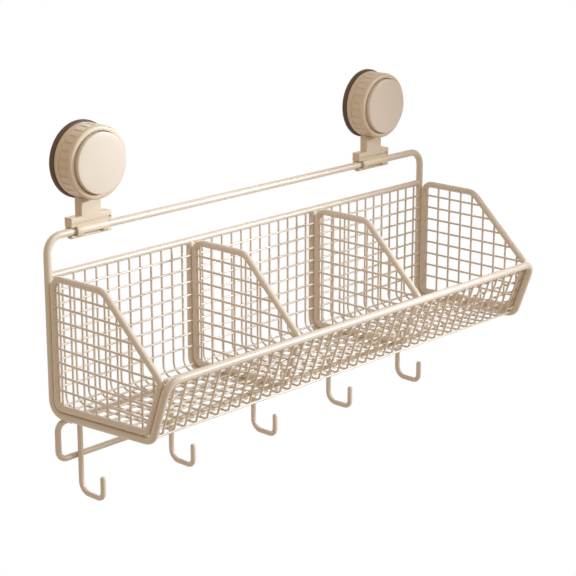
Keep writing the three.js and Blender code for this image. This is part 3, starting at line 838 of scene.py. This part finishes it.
@dataclass
class MeshBay(WireWork):
    """The welded mesh of one bay: bent lengthwise wires and straight cross wires."""

    bay: Bay
    end_reach: float = 1.5
    border_start: float = 78.0
    bend_sink: float = 0.5

    @property
    def left(self) -> float:
        """X of the bay's left side."""
        return -self.sizes.half + self.sizes.bay * self.bay.value

    @property
    def right(self) -> float:
        """X of the bay's right side."""
        return self.left + self.sizes.bay

    def warp_places(self) -> list[float]:
        """X of the lengthwise wires between the bay's sides."""
        pitch = self.sizes.bay / self.sizes.bay_cells
        return [self.left + pitch * i for i in range(1, self.sizes.bay_cells)]

    def rows(self, flat: Flat) -> list[Vector]:
        """Places of a flat's cross wires.

        Args:
            flat: the flat.

        Returns:
            The places as (y, z).
        """
        s = self.sizes
        steps = range(s.most_rows)
        wire = 2 * s.mesh_wire
        if flat is Flat.BACK:
            lowest = s.heel_corner(s.rear_bend).y + wire
            heights = [s.rail_height - s.cell_height * (i + 1) for i in steps]
            return [Vector((-s.weft_inset, z)) for z in heights if z > lowest]
        if flat is Flat.FLOOR:
            furthest = s.floor_depth - s.mesh_toe_bend - 2 * wire
            places = [s.floor_first + s.cell_floor * i for i in steps]
            return [s.on_floor(y, s.weft_inset) for y in places if y < furthest]
        furthest = (s.rim - s.toe).length - s.front_bend
        places = [s.cell_slope * (i + 1) for i in steps]
        return [s.on_front(down, s.weft_inset) for down in places if down < furthest]

    def ends(self, flat: Flat) -> Span:
        """Where a flat's cross wires end; on the front they run on past the dividers.

        Args:
            flat: the flat.

        Returns:
            X of both ends.
        """
        runs_on = flat is Flat.FRONT
        left, right = self.left, self.right
        if not runs_on or self.bay is Bay.LEFT:
            left += self.end_reach
        if not runs_on or self.bay is Bay.RIGHT:
            right -= self.end_reach
        return left, right

    def rim_sag(self, x: float) -> float:
        """How far the rim has dropped inside the frame's rounded corners.

        Args:
            x: the place along the rim.

        Returns:
            The drop, 0 between the corners.
        """
        s = self.sizes
        into = max(0.0, s.rim_bend - (s.half - abs(x)))
        return s.rim_bend - math.sqrt(s.rim_bend ** 2 - into ** 2)

    def bend_rows(self) -> list[Vector]:
        """Cross wires in the middle of the two bends, inside the rear one, round the front one.

        Returns:
            Their places as (y, z).
        """
        s = self.sizes
        sunk = 2 * s.mesh_wire - self.bend_sink
        middles = []
        for i, inset in ((1, s.warp_inset + sunk), (2, s.warp_inset - sunk)):
            corners = s.u_profile(0.0, inset, s.rail_height, 0.0)
            places = [place for place, _ in corners]
            bend = Bend.at_corner(places[i - 1], places[i], places[i + 1], corners[i][1])
            middle = bend.points(2)[1] / MM - Vector(s.shift)
            middles.append(Vector((middle.y, middle.z)))
        return middles

    def lay_rows(self, bench: WireBench, rows: list[Vector], ends: Span) -> None:
        """Draws straight cross wires.

        Args:
            bench: where the wires are drawn.
            rows: places of the cross wires, as (y, z).
            ends: X of their ends.
        """
        s = self.sizes
        left, right = ends
        for row in rows:
            bench.rod(s.at(left, *row), s.at(right, *row), s.mesh_wire * MM)

    def weld_rows(self, bench: WireBench, flat: Flat, places: list[float]) -> None:
        """Welds a flat's cross wires to lengthwise wires.

        Args:
            bench: where the welds go.
            flat: the flat.
            places: X of the lengthwise wires.
        """
        s = self.sizes
        middle = s.inward(flat) * (s.weft_inset - s.warp_inset) / 2
        for row in self.rows(flat):
            for x in places:
                bench.weld(s.at(x, *(row - middle)), s.weld * MM)

    def border(self, bench: WireBench) -> None:
        """Draws the lengthwise wire between two bays, from the rib's end up to the rim.

        Args:
            bench: where the wire is drawn.
        """
        s = self.sizes
        corners = s.u_profile(self.right, s.warp_inset, 0.0, s.frame_wire * s.end_sink)
        start = s.at(self.right, *s.on_floor(self.border_start, s.warp_inset))
        bench.wire([(start, 0.0), *corners[2:]], s.mesh_wire * MM)

    def build(self) -> None:
        """Builds the bay's lengthwise wires and the cross wires of its three flats."""
        self.build_lengthwise()
        for flat in Flat:
            self.build_cross(flat)

    def build_lengthwise(self) -> None:
        """The bent lengthwise wires, with the cross wires in their two bends."""
        s = self.sizes
        top = s.rail_height - s.rail_wire * s.warp_sink
        bench = WireBench(s.mesh_sides)
        for x in self.warp_places():
            gap = s.frame_wire * s.end_sink + self.rim_sag(x)
            bench.wire(s.u_profile(x, s.warp_inset, top, gap), s.mesh_wire * MM)
        rear, front = self.bend_rows()
        self.lay_rows(bench, [rear], self.ends(Flat.BACK))
        self.lay_rows(bench, [front], self.ends(Flat.FRONT))
        name = self.bay.label
        self.finish_piece(f"mesh_lengthwise_{name}", bench, f"mesh_warp_{name}")

    def build_cross(self, flat: Flat) -> None:
        """The cross wires of one flat, welded to the lengthwise wires.

        Args:
            flat: the flat.
        """
        bench = WireBench(self.sizes.mesh_sides)
        self.lay_rows(bench, self.rows(flat), self.ends(flat))
        self.weld_rows(bench, flat, self.warp_places())
        if flat is Flat.FRONT and self.bay is not Bay.RIGHT:
            self.border(bench)
            self.weld_rows(bench, flat, [self.right])
        place = f"{flat.label}_{self.bay.label}"
        self.finish_piece(f"mesh_cross_{place}", bench, f"mesh_{place}")


@dataclass
class HookRail(WireWork):
    """The long wire loop under the floor and the hooks that slide on it."""

    overhang: float = 3.0
    drop: float = 27.6
    setback: float = 7.7
    bend: float = 7.0
    wire: float = 2.25
    hook_wire: float = 2.0
    hook_floor: float = -58.5
    hook_reach: float = 22.9
    hook_tip: float = 15.4
    hook_heel: float = 8.0
    hook_toe: float = 5.5
    hook_tail: float = 4.0
    hook_gap: float = 0.3
    hook_count: int = 5
    hook_pitch: float = 86.8
    hook_shift: float = -13.3

    @property
    def top(self) -> float:
        """Height of the upper bar, which lies against the frame wires' rear bends.

        Returns:
            The height of its centre line.
        """
        s = self.sizes
        reach = s.rear_bend + s.frame_wire + self.hook_gap + self.wire
        drop = math.sqrt(reach ** 2 - (s.rear_bend - self.setback) ** 2)
        return s.heel_corner(s.rear_bend).y - drop

    def build(self) -> None:
        """Builds the rail and its hooks."""
        self.rail_loop()
        for i in range(self.hook_count):
            x = self.hook_shift + self.hook_pitch * (i - (self.hook_count - 1) / 2)
            self.hook(i + 1, x)

    def rail_loop(self) -> None:
        """The rail's two bars and rounded ends as one loop."""
        s = self.sizes
        reach = s.half + self.overhang
        low = self.top - self.drop
        corners = [(-reach, self.top), (-reach, low), (reach, low), (reach, self.top)]
        route = [(s.at(x, -self.setback, z), self.bend * MM) for x, z in corners]
        bench = WireBench(s.rail_sides)
        bench.wire(route, self.wire * MM, closed=True)
        self.finish_piece("hook_rail_wire", bench, "hook_rail")

    def hook(self, number: int, x: float) -> None:
        """One hook over the upper bar.

        Args:
            number: the hook's number from the left.
            x: its place along the rail.
        """
        s = self.sizes
        curl = self.wire + self.hook_gap + self.hook_wire
        rear = -self.setback + curl
        stem = -self.setback - curl
        crown = self.top + curl
        tip = stem - self.hook_reach
        corners = [(rear, crown - curl - self.hook_tail, 0.0), (rear, crown, curl),
                   (stem, crown, curl), (stem, self.hook_floor, self.hook_heel),
                   (tip, self.hook_floor, self.hook_toe),
                   (tip, self.hook_floor + self.hook_tip, 0.0)]
        route = [(s.at(x, y, z), radius * MM) for y, z, radius in corners]
        bench = WireBench(s.rail_sides)
        bench.wire(route, self.hook_wire * MM, rounded=True)
        self.finish_piece(f"hook_wire_{number}", bench, f"hook_{number}", f"hook_{number}")


@dataclass
class SuctionCup:
    """One twist-lock suction cup: pad, bracket with its clip, knob, front disc and hidden post.

    Sizes are radii or widths in millimetres, and depths are measured out from the wall. An ease
    is the width of a bevel, and edges sharper than an edge angle get one. Angles of the clip are
    measured round the bar, from level in front, in degrees.
    """

    side: Side
    plastic: Material
    smooth: Material
    rubber: Material
    post: Material
    spacing: float = 299.5
    pad: float = 27.2
    pad_rim: float = 3.2
    pad_bead: float = 4.5
    pad_boss: float = 8.5
    pad_membrane: float = 1.8
    pad_ease: float = 0.35
    base: float = 25.8
    base_wall: float = 5.5
    base_depths: Span = (3.5, 8.0)
    hub: float = 23.0
    hub_bore: float = 4.8
    hub_depths: Span = (7.7, 10.2)
    root_ease: float = 0.2
    knob: float = 25.8
    knob_depths: Span = (8.3, 20.5)
    knob_wall: float = 2.4
    knob_face: float = 2.0
    knob_rim: float = 3.7
    knob_round: float = 2.2
    knob_crease: float = 50.0
    recess: float = 1.8
    grip_depths: Span = (8.9, 17.0)
    grip_slack: float = 0.1
    side_slack: float = 0.5
    flutes: int = 28
    flute_pitch: int = 3
    flute_margin: float = 0.35
    flute_depth: float = 0.55
    disc_groove: float = 0.6
    disc_lift: float = 3.0
    disc_round: float = 0.9
    disc_ease: float = 0.2
    crown: float = 0.8
    crown_shares: tuple[float, ...] = (0.0, 0.25, 0.5, 0.7, 0.85)
    arm_width: float = 17.6
    arm_depths: Span = (3.4, 10.8)
    arm_ease: float = 0.5
    hollow_steps: int = 8
    crossbar_width: float = 36.5
    crossbar_rise: float = 9.9
    groove: Span = (5.2, 6.5)
    groove_depth: float = 1.0
    groove_margin: float = 0.9
    groove_slant: float = 0.1
    bracket_crease: float = 40.0
    bar_depth: float = 8.0
    bar_height: float = -47.4
    bore: float = 3.08
    clip_wall: float = 1.9
    clip_steps: int = 60
    clip_ease: float = 0.4
    clip_edge_angle: float = 50.0
    leg_width: float = 5.0
    leg_span: float = 28.0
    top_angle: float = 90.0
    plate_angle: float = -15.0
    lip_angle: float = -48.0
    edge_angle: float = 30.0
    gap: float = 0.3
    round_steps: int = 96
    rounding_steps: int = 4

    @property
    def cup_body(self) -> str:
        """The CAD body of the pad and the bracket."""
        return f"{self.side.label}_cup"

    @property
    def knob_body(self) -> str:
        """The CAD body of the knob and its disc."""
        return f"{self.side.label}_knob"

    def at(self, x: float, depth: float, z: float) -> Vector:
        """A point of the cup in the row frame, in metres."""
        return Vector((x + self.side.value * self.spacing / 2, -depth, z)) * MM

    def rounding(self, radius: float, depth: float, size: float) -> Outline:
        """Points of a rounded front edge.

        Args:
            radius: the turned piece's outer radius.
            depth: depth of its front.
            size: radius of the rounding.

        Returns:
            The points as (radius, depth), from the front round to the side.
        """
        steps = self.rounding_steps
        turns = [math.radians(90.0 * i / steps) for i in range(steps + 1)]
        return [(radius - size + size * math.sin(turn), depth - size + size * math.cos(turn))
                for turn in turns]

    def turned(self, outline: Outline, ease: float, steps: int) -> BMesh:
        """Turns an outline about the cup's axis and eases its edges.

        Args:
            outline: points as (radius, depth), from the axis to the axis or a closed section.
            ease: bevel width.
            steps: facets round the turn.

        Returns:
            The turned bmesh.
        """
        mesh = bmesh.new()
        verts = [mesh.verts.new(self.at(radius, depth, 0.0)) for radius, depth in outline]
        edges = [mesh.edges.new(pair) for pair in zip(verts, verts[1:])]
        if outline[0][0] > 0.0:
            edges.append(mesh.edges.new((verts[-1], verts[0])))
        bmesh.ops.spin(mesh, geom=[*verts, *edges], cent=self.at(0, 0, 0), axis=(0, 1, 0),
                       dvec=(0, 0, 0), angle=math.tau, steps=steps, use_merge=True,
                       use_normal_flip=False, use_duplicate=False)
        bmesh.ops.remove_doubles(mesh, verts=mesh.verts[:], dist=MERGE)
        bmesh.ops.recalc_face_normals(mesh, faces=mesh.faces[:])
        self.ease(mesh, ease, self.edge_angle)
        return mesh

    def ease(self, mesh: BMesh, width: float, degrees: float) -> None:
        """Bevels the edges that are sharper than an angle.

        Args:
            mesh: the bmesh to ease.
            width: bevel width.
            degrees: edges sharper than this are bevelled.
        """
        least = math.radians(degrees)
        sharp = [edge for edge in mesh.edges
                 if len(edge.link_faces) == 2 and edge.calc_face_angle() > least]
        bmesh.ops.bevel(mesh, geom=sharp, offset=width * MM, offset_type="OFFSET", segments=3,
                        profile=0.5, affect="EDGES", clamp_overlap=True, material=-1)

    def plate(self, outline: Outline, depths: Span, ease: float) -> BMesh:
        """A flat plate with eased edges, extruded out from the wall.

        Args:
            outline: its corners as (x, height).
            depths: depth of its rear and its front.
            ease: bevel width.

        Returns:
            The plate's bmesh.
        """
        mesh = bmesh.new()
        rear, front = depths
        face = mesh.faces.new([mesh.verts.new(self.at(x, rear, z)) for x, z in outline])
        made = bmesh.ops.extrude_face_region(mesh, geom=[face], use_keep_orig=True)["geom"]
        moved = [item for item in made if isinstance(item, BMVert)]
        bmesh.ops.translate(mesh, verts=moved, vec=self.at(0, front, 0) - self.at(0, rear, 0))
        bmesh.ops.recalc_face_normals(mesh, faces=mesh.faces[:])
        self.ease(mesh, ease, self.edge_angle)
        return mesh

    def build(self) -> None:
        """Builds and dresses the cup's pieces."""
        self.build_pad()
        self.build_bracket()
        self.build_knob()
        self.build_disc()
        self.dress_post()

    def build_pad(self) -> None:
        """The rubber pad with its rim bead and thin lip on the wall."""
        lip = self.pad_rim / 2
        inner = self.pad - self.pad_bead
        outline = [(0, self.pad_rim), (self.pad_boss, self.pad_rim),
                   (self.pad_boss, self.pad_membrane), (inner, self.pad_membrane),
                   (inner + lip, self.pad_rim), (self.pad - lip / 2, self.pad_rim),
                   (self.pad, lip), (self.pad, 0), (0, 0)]
        mesh = self.turned(outline, self.pad_ease, self.round_steps)
        as_piece(f"pad_disc_{self.side.label}", mesh, self.rubber, Slot.PAD, self.cup_body,
                 f"suction_pad_{self.side.label}")

    def build_bracket(self) -> None:
        """Round base, arm and clip round the bar, overlapping into one bracket."""
        parts = {"base": self.round_base(), "root": self.root(), "arm": self.arm(),
                 "clip": self.clip()}
        for name, mesh in parts.items():
            piece = as_piece(f"bracket_{name}_{self.side.label}", mesh, self.plastic, Slot.CUP,
                             self.cup_body, f"bracket_{self.side.label}")
            crease(piece, self.bracket_crease)

    def round_base(self) -> BMesh:
        """The bracket's round base with the hub that the knob turns on.

        Returns:
            The base's bmesh.
        """
        rear, front = self.base_depths
        hub_rear, hub_front = self.hub_depths
        inner = self.base - self.base_wall
        outline = [(self.hub_bore, hub_front), (self.hub, hub_front), (self.hub, front),
                   (self.base, front), (self.base, rear), (inner, rear), (inner, hub_rear),
                   (self.hub_bore, hub_rear)]
        return self.turned(outline, self.gap, self.round_steps)

    def root(self) -> BMesh:
        """The short plate that runs the arm into the round base behind the knob.

        Returns:
            The root's bmesh.
        """
        half = self.arm_width / 2 - self.gap
        top = -self.base + self.base_wall / 2
        low = -self.knob - 2 * self.gap
        outline = [(-half, low), (half, low), (half, top), (-half, top)]
        depths = (self.arm_depths[0], self.base_depths[1] - self.gap)
        return self.plate(outline, depths, self.root_ease)

    def arm(self) -> BMesh:
        """The arm and its crossbar in one plate, hollowed round the knob and grooved in front.

        Returns:
            The arm's bmesh.
        """
        half = self.arm_width / 2
        wing = self.crossbar_width / 2
        low = self.bar_height + self.bore
        high = self.bar_height + self.crossbar_rise
        room = self.knob + self.gap
        places = [half * (1 - 2 * i / self.hollow_steps) for i in range(self.hollow_steps + 1)]
        hollow = [(x, -math.sqrt(room ** 2 - x ** 2)) for x in places]
        outline = [(-wing, low), (wing, low), (wing, high), (half, high), *hollow, (-half, high),
                   (-wing, high)]
        mesh = self.plate(outline, self.arm_depths, self.arm_ease)
        end = wing - self.groove_margin
        bottom, top = (self.bar_height + rise for rise in self.groove)
        level, upright = (0, 0, 1), (1, 0, 0)
        cuts = [(0, bottom, level), (0, top, level), (-end, 0, upright), (end, 0, upright)]
        for x, z, normal in cuts:
            bmesh.ops.bisect_plane(mesh, geom=[*mesh.verts, *mesh.edges, *mesh.faces], dist=NUDGE,
                                   plane_co=self.at(x, 0, z), plane_no=normal)
        middle = self.at(0, self.arm_depths[1], (bottom + top) / 2)
        strip = [face for face in mesh.faces
                 if (face.calc_center_median() - middle).length < NEAR]
        bmesh.ops.inset_individual(mesh, faces=strip, thickness=self.groove_slant * MM,
                                   depth=-self.groove_depth * MM)
        return mesh

    def clip(self) -> BMesh:
        """The clip round the bar: a jaw behind and below, and a front plate with a slot.

        Returns:
            The clip's bmesh.
        """
        mesh = bmesh.new()
        hinge = self.at(0, self.bar_depth, self.bar_height)
        out = self.at(0, self.bar_depth + self.bore + self.clip_wall, self.bar_height)
        wing = self.crossbar_width / 2 - self.gap
        span = self.leg_span / 2
        leg = span - self.leg_width
        verts = [mesh.verts.new(out + Vector((x * MM, 0, 0)))
                 for x in (-wing, -span, -leg, leg, span, wing)]
        edges = [mesh.edges.new(pair) for pair in zip(verts, verts[1:])]
        bmesh.ops.spin(mesh, geom=[*verts, *edges], cent=hinge, axis=(1, 0, 0), dvec=(0, 0, 0),
                       angle=math.tau, steps=self.clip_steps, use_merge=True,
                       use_normal_flip=False, use_duplicate=False)
        bmesh.ops.remove_doubles(mesh, verts=mesh.verts[:], dist=MERGE)
        open_faces = [face for face in mesh.faces if self.is_open(face, hinge)]
        bmesh.ops.delete(mesh, geom=open_faces, context="FACES")
        bmesh.ops.recalc_face_normals(mesh, faces=mesh.faces[:])
        bmesh.ops.solidify(mesh, geom=mesh.faces[:], thickness=self.clip_wall * MM)
        bmesh.ops.recalc_face_normals(mesh, faces=mesh.faces[:])
        self.ease(mesh, self.clip_ease, self.clip_edge_angle)
        return mesh

    def is_open(self, face: BMFace, hinge: Vector) -> bool:
        """Whether a face of the round clip lies where the clip is open.

        Args:
            face: the face.
            hinge: the middle of the bar.

        Returns:
            True beside the front plate and in its slot.
        """
        place = (face.calc_center_median() - hinge) / MM
        angle = math.degrees(math.atan2(place.z, -place.y))
        if angle > self.top_angle or angle < self.lip_angle:
            return False
        beside = abs(place.x) > self.leg_span / 2
        between = abs(place.x) < self.leg_span / 2 - self.leg_width
        return beside or (between and angle < self.plate_angle)

    def build_knob(self) -> None:
        """The twist knob with its grip flutes and rounded front rim."""
        rear, front = self.knob_depths
        inner = self.knob - self.knob_rim
        wall = self.knob - self.knob_wall
        floor = front - self.recess
        face = floor - self.knob_face
        outline = [(0, floor), (inner, floor), (inner, front),
                   *self.rounding(self.knob, front, self.knob_round),
                   (self.knob, self.grip_depths[1]), (self.knob, self.grip_depths[0]),
                   (self.knob, rear), (wall, rear), (wall, face), (0, face)]
        mesh = self.turned(outline, self.gap, self.flutes * self.flute_pitch)
        middle = self.at(0, sum(self.grip_depths) / 2, 0)
        fluted = [side for side in mesh.faces if self.is_fluted(side, middle)]
        bmesh.ops.inset_individual(mesh, faces=fluted, thickness=self.flute_margin * MM,
                                   depth=-self.flute_depth * MM, use_even_offset=True)
        piece = as_piece(f"knob_shell_{self.side.label}", mesh, self.plastic, Slot.CUP,
                         self.knob_body, f"knob_{self.side.label}")
        crease(piece, self.knob_crease)

    def is_fluted(self, face: BMFace, middle: Vector) -> bool:
        """Whether a face lies on the knob's grip, in a column that has a flute.

        Args:
            face: the face.
            middle: the middle of the grip on the knob's axis.

        Returns:
            True for one column in every flute_pitch.
        """
        place = (face.calc_center_median() - middle) / MM
        on_side = math.hypot(place.x, place.z) > self.knob - self.side_slack
        turn = math.atan2(place.z, place.x) % math.tau
        column = int(turn / math.tau * self.flutes * self.flute_pitch)
        return on_side and abs(place.y) < self.grip_slack and column % self.flute_pitch == 0

    def build_disc(self) -> None:
        """The slightly crowned disc that stands out of the knob's recess."""
        radius = self.knob - self.knob_rim - self.disc_groove
        rear = self.knob_depths[1] - self.recess + self.gap
        front = self.knob_depths[1] + self.disc_lift
        flat = radius - self.disc_round
        crown = [(flat * share, front + self.crown * (1 - share ** 2))
                 for share in self.crown_shares]
        outline = [*crown, *self.rounding(radius, front, self.disc_round), (radius, rear),
                   (0, rear)]
        mesh = self.turned(outline, self.disc_ease, self.round_steps)
        piece = as_piece(f"disc_cap_{self.side.label}", mesh, self.smooth, Slot.DISC,
                         self.knob_body, f"front_disc_{self.side.label}")
        crease(piece, self.knob_crease)

    def dress_post(self) -> None:
        """Gives the hidden CAD post its own plastic."""
        node = f"post_{self.side.label}"
        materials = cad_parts[node].data.materials
        materials.clear()
        materials.append(self.post)
        log.info("CAD node %s dressed", node)


@dataclass(frozen=True)
class Lamp:
    """A studio lamp, in watts, metres and degrees; the beam is for spots only."""

    name: str
    kind: LampKind
    energy: float
    colour: Colour
    size: float
    place: Place
    aim: Place
    beam: float = 0.0
    beam_blend: float = 0.0

    def hang(self) -> None:
        """Hangs the lamp in the studio, facing its aim."""
        data = bpy.data.lights.new(self.name, self.kind.value)
        data.energy, data.color = self.energy, self.colour
        if self.kind is LampKind.SPOT:
            data.shadow_soft_size = self.size
            data.spot_size, data.spot_blend = math.radians(self.beam), self.beam_blend
        else:
            data.size = self.size
        item = bpy.data.objects.new(self.name, data)
        item.location = self.place
        item.rotation_mode = "QUATERNION"
        item.rotation_quaternion = (Vector(self.aim) - Vector(self.place)).to_track_quat("-Z", "Y")
        bpy.context.scene.collection.objects.link(item)


RIGHT_FRONT_KEY = Lamp(
    "key", LampKind.SPOT, energy=60.0, colour=(0.79, 0.90, 1.0), size=0.1,
    place=(0.75, -0.85, 0.25), aim=(-0.13, -0.10, -0.16), beam=26.5, beam_blend=0.2)
LEFT_CUP_FILL = Lamp(
    "fill", LampKind.SOFT_BOX, energy=0.42, colour=(0.80, 0.90, 1.0), size=0.2,
    place=(-0.15, -0.30, 0.25), aim=(-0.14, -0.03, -0.02))
REAR_BOX = Lamp(
    "rear", LampKind.SOFT_BOX, energy=5.0, colour=(0.90, 0.95, 1.0), size=0.8,
    place=(0.45, 1.30, 0.55), aim=(0.0, 0.0, -0.10))


@dataclass
class Studio:
    """Camera at the photograph's view, soft lights, pale floor and white surround.

    Lengths are in metres, apart from the lens and its sensor. Inside the shadow zone the floor
    shows its shadow, and is white only for the share shadow_white.
    """

    eye: Place = (-0.92148, -0.91545, 0.24803)
    forward: Place = (0.70289, 0.65588, -0.27526)
    lens: float = 110.44
    sensor: float = 36.0
    view_reach: float = 50.0
    lamps: tuple[Lamp, ...] = (RIGHT_FRONT_KEY, LEFT_CUP_FILL, REAR_BOX)
    glow: Colour = (1.0, 0.785, 0.54)
    glow_strength: float = 0.49
    floor_height: float = -0.62
    floor_radius: float = 12.0
    floor_steps: int = 64
    floor_colour: Colour = (0.9, 0.89, 0.87)
    shadow_zone: Span = (0.38, 0.52)
    shadow_white: float = 0.75

    def build(self) -> None:
        """Sets the stage."""
        self.camera()
        for lamp in self.lamps:
            lamp.hang()
        self.floor()
        self.surround()
        bpy.context.scene.view_settings.view_transform = "Standard"

    def camera(self) -> None:
        """The camera, with the photograph's lens and place."""
        data = bpy.data.cameras.new("camera")
        data.lens = self.lens
        data.sensor_width = self.sensor
        data.clip_end = self.view_reach
        camera = bpy.data.objects.new("camera", data)
        camera.location = self.eye
        camera.rotation_mode = "QUATERNION"
        camera.rotation_quaternion = Vector(self.forward).to_track_quat("-Z", "Y")
        bpy.context.scene.collection.objects.link(camera)
        bpy.context.scene.camera = camera

    def surround(self) -> None:
        """White where it is seen, straight or in a gloss, and a plain warm tone for light."""
        world = bpy.data.worlds.new("surround")
        bpy.context.scene.world = world
        board = NodeBoard(world)
        white = board.add("ShaderNodeBackground", Color=(*WHITE, 1.0), Strength=1.0)
        glow = board.add("ShaderNodeBackground", Color=(*self.glow, 1.0),
                         Strength=self.glow_strength)
        output = board.add("ShaderNodeOutputWorld")
        mix = board.mix(board.seen(), glow.outputs["Background"], white.outputs["Background"])
        board.join(mix, output.inputs["Surface"])

    def floor(self) -> None:
        """A wide pale floor that keeps the shadow under the object and is white further out."""
        mesh = bmesh.new()
        bmesh.ops.create_circle(mesh, cap_ends=True, segments=self.floor_steps,
                                radius=self.floor_radius,
                                matrix=Matrix.Translation((0.0, 0.0, self.floor_height)))
        data = bpy.data.meshes.new("floor")
        mesh.to_mesh(data)
        mesh.free()
        data.materials.append(self.floor_material())
        floor = bpy.data.objects.new("floor", data)
        bpy.context.scene.collection.objects.link(floor)

    def floor_material(self) -> Material:
        """A matt pale floor, white where it is seen, and less so in the shadow zone.

        Returns:
            The material.
        """
        material = bpy.data.materials.new("pale_floor")
        board = NodeBoard(material)
        place = board.add("ShaderNodeTexCoord")
        across = board.add("ShaderNodeVectorMath")
        across.operation = "MULTIPLY"
        across.inputs[1].default_value = (1.0, 1.0, 0.0)
        board.join(place.outputs["Object"], across.inputs[0])
        length = board.add("ShaderNodeVectorMath")
        length.operation = "LENGTH"
        board.join(across.outputs["Vector"], length.inputs[0])
        near, far = self.shadow_zone
        beyond = board.add("ShaderNodeMapRange", From_Min=near, From_Max=far,
                           To_Min=self.shadow_white)
        board.join(length.outputs["Value"], beyond.inputs["Value"])
        shown = board.math("MULTIPLY", board.seen(), beyond.outputs["Result"])
        matt = board.add("ShaderNodeBsdfDiffuse", Color=(*self.floor_colour, 1.0))
        white = board.add("ShaderNodeEmission", Color=(*WHITE, 1.0), Strength=1.0)
        output = board.add("ShaderNodeOutputMaterial")
        mix = board.mix(shown, matt.outputs["BSDF"], white.outputs["Emission"])
        board.join(mix, output.inputs["Surface"])
        return material


def main() -> None:
    """Builds the studio and the basket's pieces in order."""
    logging.basicConfig(level=logging.INFO)
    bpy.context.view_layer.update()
    Studio().build()
    sizes = BasketSizes()
    coat = POWDER_COAT.material()
    BasketFrame(sizes, coat).build()
    panels = {"end_panel_left": sizes.panel_inset, "divider_left": sizes.divider_inset,
              "divider_right": sizes.divider_inset, "end_panel_right": sizes.panel_inset}
    for i, (node, front_inset) in enumerate(panels.items()):
        outer = 1 if node == "end_panel_right" else -1
        x = -sizes.half + sizes.bay * i
        GridPanel(sizes, coat, node, x, outer, front_inset).build()
    for bay in Bay:
        MeshBay(sizes, coat, bay).build()
    HookRail(sizes, coat).build()
    cup_finishes = (CUP_PLASTIC, DISC_PLASTIC, PAD_RUBBER, POST_PLASTIC)
    plastic, smooth, rubber, post = (finish.material() for finish in cup_finishes)
    for side in Side:
        SuctionCup(side, plastic, smooth, rubber, post).build()


if __name__ == "__main__":
    main()
